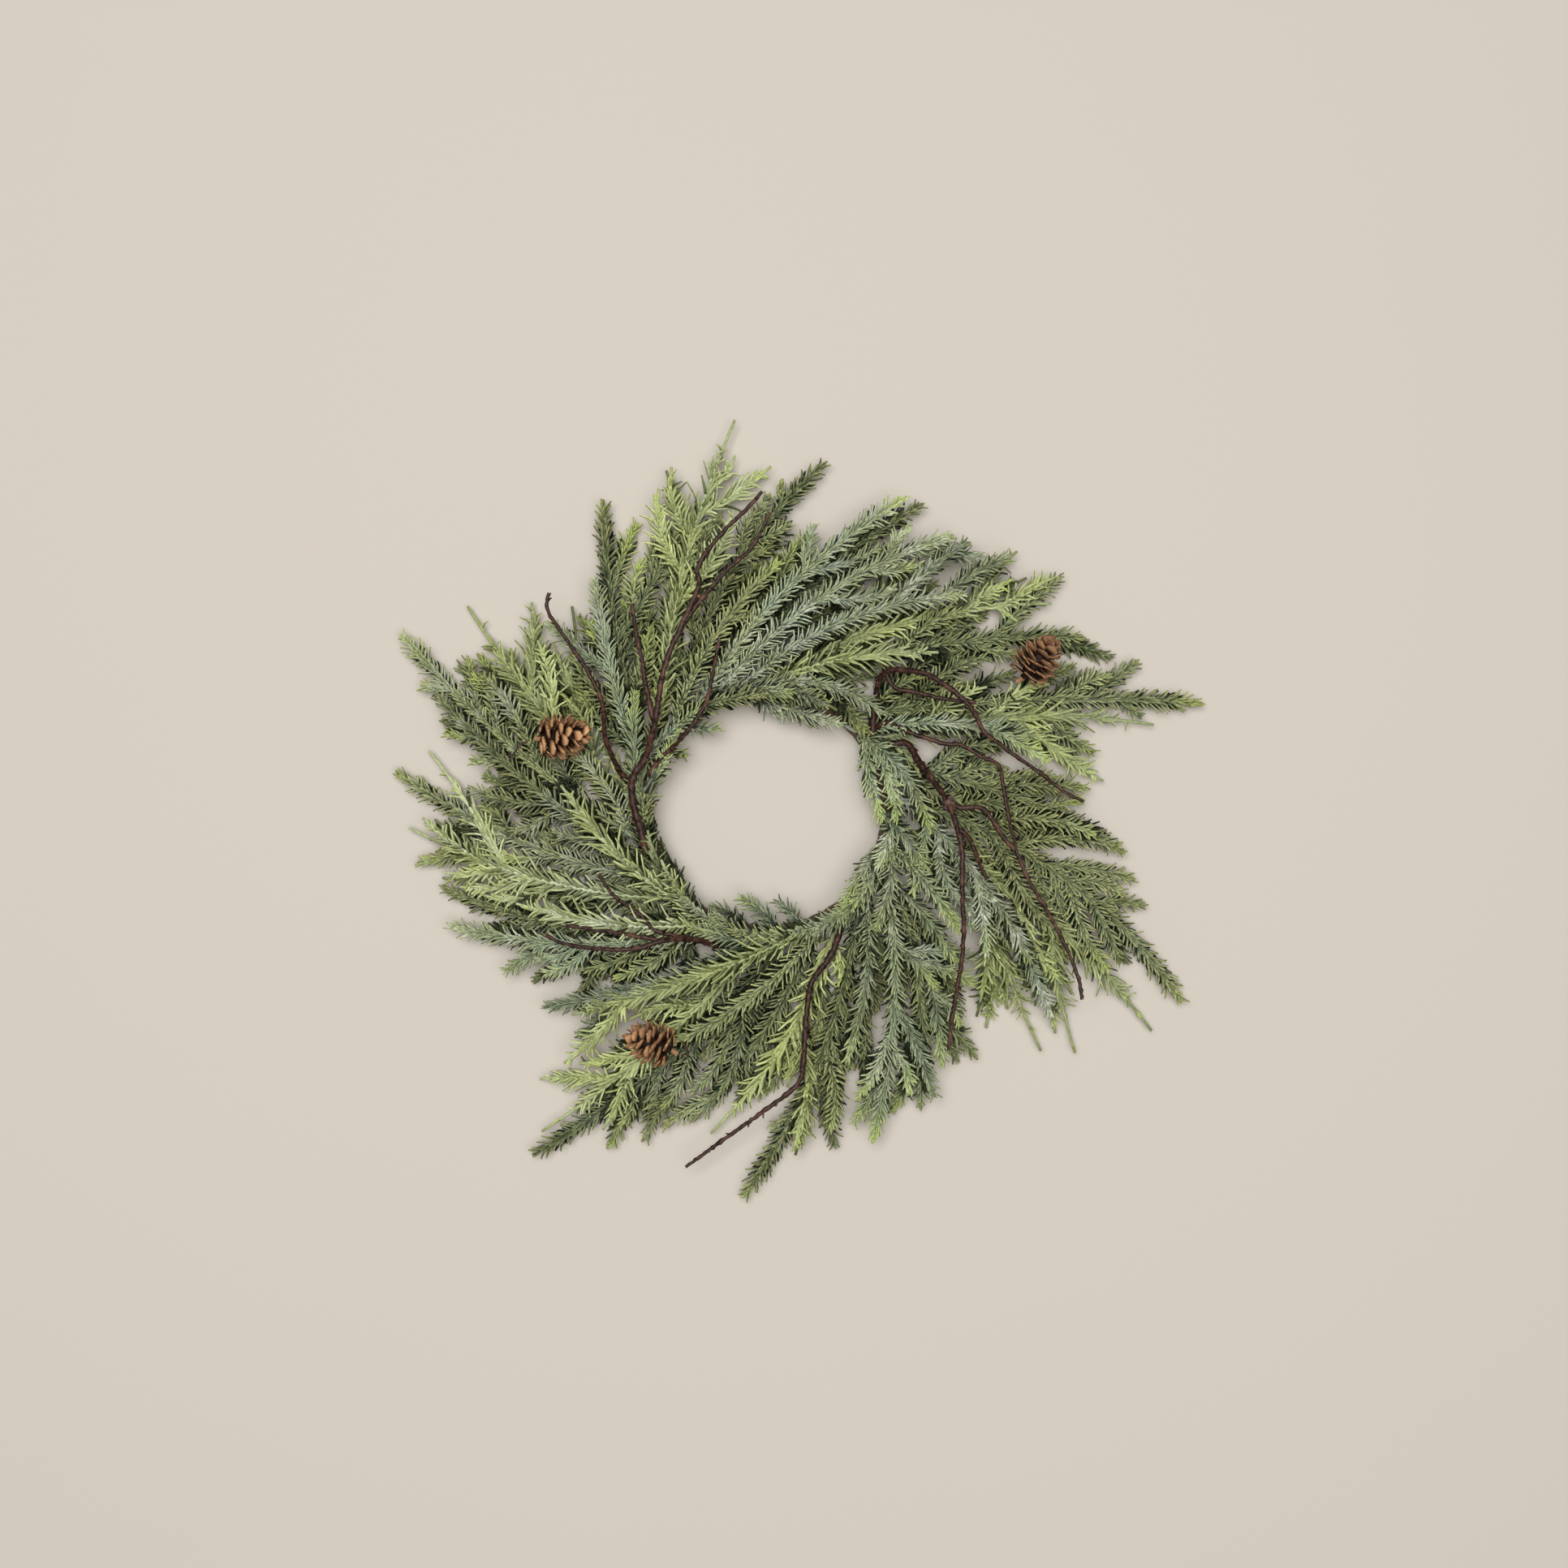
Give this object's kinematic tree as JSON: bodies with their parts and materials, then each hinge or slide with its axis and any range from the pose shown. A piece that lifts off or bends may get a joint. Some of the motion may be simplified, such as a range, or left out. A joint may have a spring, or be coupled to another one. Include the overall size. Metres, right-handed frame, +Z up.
{
  "type": "evergreen candle ring",
  "caption": "Round tabletop candle ring of moulded evergreen sprays, twigs and small cones on a taped wire hoop with an open middle for a candle.",
  "frame": {"origin": "middle of the ring's underside box, on the surface it lies on", "axes": "+Z up, +X to the right and +Y to the top of the wreath as pictured from above"},
  "size_m": [0.4004, 0.3884, 0.0434],
  "materials": {
    "ring_tape": "matte brown floral tape, wound round the hoop",
    "spruce_green": "matte dark green moulded plastic with yellow-green tips",
    "cedar_green": "matte bright yellow-green moulded plastic",
    "frosted_green": "matte blue-green moulded plastic with a pale frosted bloom",
    "twig_bark": "dark red-brown bark, slightly waxy",
    "cone_scales": "dry matte orange-brown scales",
    "stalk_wire": "brown paper-wrapped wire"
  },
  "bodies": {
    "root": {"cedar_spray_15": "cedar_green", "cedar_spray_16": "cedar_green", "cedar_spray_17": "cedar_green", "cedar_spray_18": "cedar_green", "cedar_spray_19": "cedar_green", "cedar_spray_20": "cedar_green", "cedar_spray_21": "cedar_green", "cedar_spray_22": "cedar_green", "cedar_spray_34": "cedar_green", "cedar_spray_35": "cedar_green", "cedar_spray_36": "cedar_green", "cedar_spray_39": "cedar_green", "cone_1": "cone_scales", "cone_2": "cone_scales", "cone_3": "cone_scales", "cone_wire_1": "stalk_wire", "cone_wire_2": "stalk_wire", "cone_wire_3": "stalk_wire", "frosted_spray_24": "frosted_green", "frosted_spray_25": "frosted_green", "frosted_spray_27": "frosted_green", "frosted_spray_28": "frosted_green", "frosted_spray_29": "frosted_green", "frosted_spray_30": "frosted_green", "frosted_spray_31": "frosted_green", "frosted_spray_33": "frosted_green", "frosted_spray_37": "frosted_green", "frosted_spray_38": "frosted_green", "frosted_spray_40": "frosted_green", "frosted_spray_41": "frosted_green", "frosted_spray_42": "frosted_green", "frosted_spray_43": "frosted_green", "frosted_spray_44": "frosted_green", "spruce_spray_01": "spruce_green", "spruce_spray_02": "spruce_green", "spruce_spray_03": "spruce_green", "spruce_spray_04": "spruce_green", "spruce_spray_05": "spruce_green", "spruce_spray_06": "spruce_green", "spruce_spray_07": "spruce_green", "spruce_spray_08": "spruce_green", "spruce_spray_09": "spruce_green", "spruce_spray_10": "spruce_green", "spruce_spray_11": "spruce_green", "spruce_spray_12": "spruce_green", "spruce_spray_13": "spruce_green", "spruce_spray_14": "spruce_green", "spruce_spray_23": "spruce_green", "spruce_spray_26": "spruce_green", "spruce_spray_32": "spruce_green", "spruce_spray_45": "spruce_green", "taped_ring": "ring_tape", "twig_1": "twig_bark", "twig_2": "twig_bark", "twig_3": "twig_bark", "twig_4": "twig_bark", "twig_5": "twig_bark", "twig_6": "twig_bark", "twig_7": "twig_bark"}
  },
  "joints": []
}
